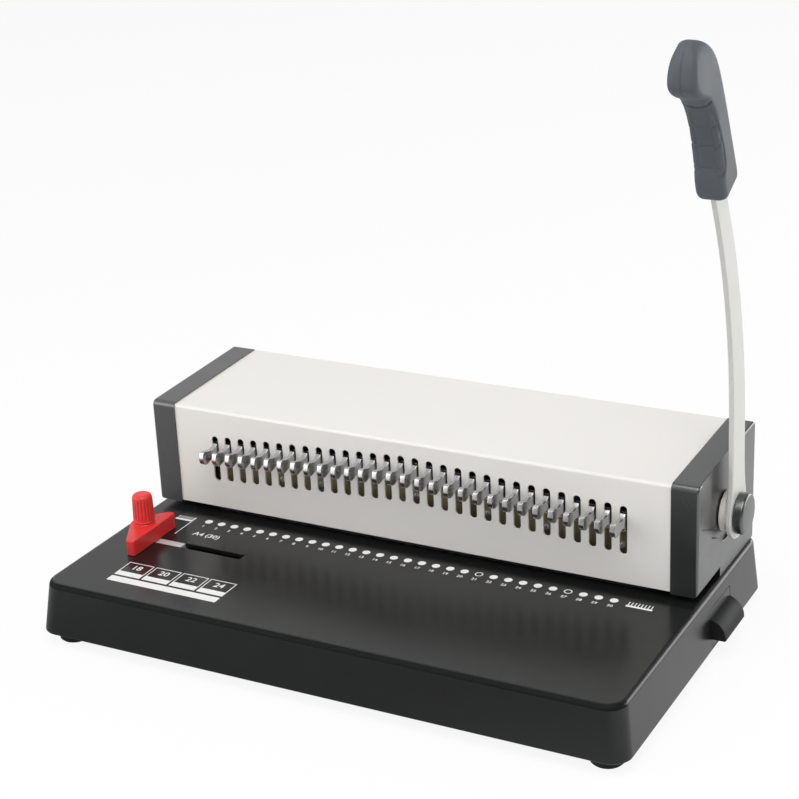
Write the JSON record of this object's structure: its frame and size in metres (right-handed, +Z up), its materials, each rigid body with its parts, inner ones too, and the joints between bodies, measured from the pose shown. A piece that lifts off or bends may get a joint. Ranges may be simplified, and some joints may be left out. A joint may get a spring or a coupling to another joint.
{
  "type": "binding punch",
  "caption": "Hand-lever comb binding punch with a cream sheet cover, chromed opening hooks, black base, red edge guide and a pull-out chip tray",
  "frame": {"origin": "On the desk, under the middle of the overall box, with the lever upright, the guide out and the tray in.", "axes": "+X to the lever side, +Y to the back of the machine, +Z up."},
  "size_m": [0.387, 0.231, 0.3675],
  "materials": {
    "base_black": "fine grained black moulding",
    "steel_dark": "blackened steel",
    "foot_rubber": "matt black rubber",
    "screw_steel": "bright zinc",
    "tool_steel": "ground steel",
    "zinc_plate": "yellow zinc plated sheet",
    "cover_cream": "satin cream enamel",
    "cap_grey": "matt dark grey moulding",
    "bush_brass": "sintered bearing bronze",
    "lever_cream": "satin cream enamel",
    "grip_slate": "soft matt slate grey",
    "hook_chrome": "bright chrome",
    "guide_red": "satin red moulding",
    "slider_alu": "plain aluminium",
    "tray_black": "smooth black moulding"
  },
  "bodies": {
    "base": {"base_housing": "base_black", "bottom_plate": "steel_dark", "rubber_feet": "foot_rubber", "foot_screws": "screw_steel", "die_plate": "tool_steel", "die_screws": "screw_steel", "left_side_frame": "zinc_plate", "right_side_frame": "zinc_plate", "frame_screws": "screw_steel", "pin_guide_plate": "tool_steel", "guide_plate_screws": "screw_steel", "paper_backstop": "tool_steel", "backing_plate": "zinc_plate", "backing_plate_screws": "screw_steel", "rear_rail": "zinc_plate", "spring_rod": "tool_steel", "return_springs": "screw_steel", "top_cover": "cover_cream", "cover_screws": "screw_steel", "left_end_cap": "cap_grey", "right_end_cap": "cap_grey", "cap_screws": "screw_steel", "left_shaft_bush": "bush_brass", "right_shaft_bush": "bush_brass", "tray_runners": "zinc_plate"},
    "lever": {"drive_shaft": "tool_steel", "shaft_rings": "steel_dark", "punch_pinions": "tool_steel", "hook_pinions": "tool_steel", "lever_hub": "lever_cream", "hub_set_screw": "steel_dark", "lever_bar": "lever_cream", "lever_grip": "grip_slate", "pivot_cap": "cap_grey"},
    "punch": {"punch_bar": "tool_steel", "punch_pins": "tool_steel", "pin_retainer": "zinc_plate", "retainer_screws": "screw_steel", "punch_racks": "tool_steel", "rack_screws": "screw_steel"},
    "hooks": {"hook_comb": "hook_chrome", "hook_racks": "tool_steel", "hook_rack_screws": "screw_steel"},
    "guide": {"edge_guide": "guide_red", "guide_slider": "slider_alu", "guide_stud": "screw_steel"},
    "knob": {"guide_knob": "guide_red"},
    "tray": {"chip_tray": "tray_black", "tray_handle": "tray_black"}
  },
  "joints": [
    {"name": "lever_swing", "type": "hinge", "parent": "base", "child": "lever", "pos_m": [0.185, 0.0605, 0.0785], "axis": [1, 0, 0], "range_deg": [0, 75], "stiffness_Nm_per_rad": 1, "springref_deg": -28.65},
    {"name": "punch_slide", "type": "slide", "parent": "base", "child": "punch", "axis": [0, 0, -1], "range_m": [0, 0.01048], "deforming": ["return_springs"]},
    {"name": "hook_slide", "type": "slide", "parent": "base", "child": "hooks", "axis": [0, 0, -1], "range_m": [0, 0.01153]},
    {"name": "guide_slide", "type": "slide", "parent": "base", "child": "guide", "axis": [1, 0, 0], "range_m": [0, 0.04]},
    {"name": "knob_turn", "type": "hinge", "parent": "guide", "child": "knob", "pos_m": [-0.16625, -0.0352, 0.06], "axis": [0, 0, 1], "continuous": true},
    {"name": "tray_slide", "type": "slide", "parent": "base", "child": "tray", "axis": [1, 0, 0], "range_m": [0, 0.25]}
  ],
  "couplings": [
    {"joint": "punch_slide", "follows": "lever_swing", "m_per_rad": 0.008},
    {"joint": "hook_slide", "follows": "lever_swing", "m_per_rad": 0.0088}
  ]
}
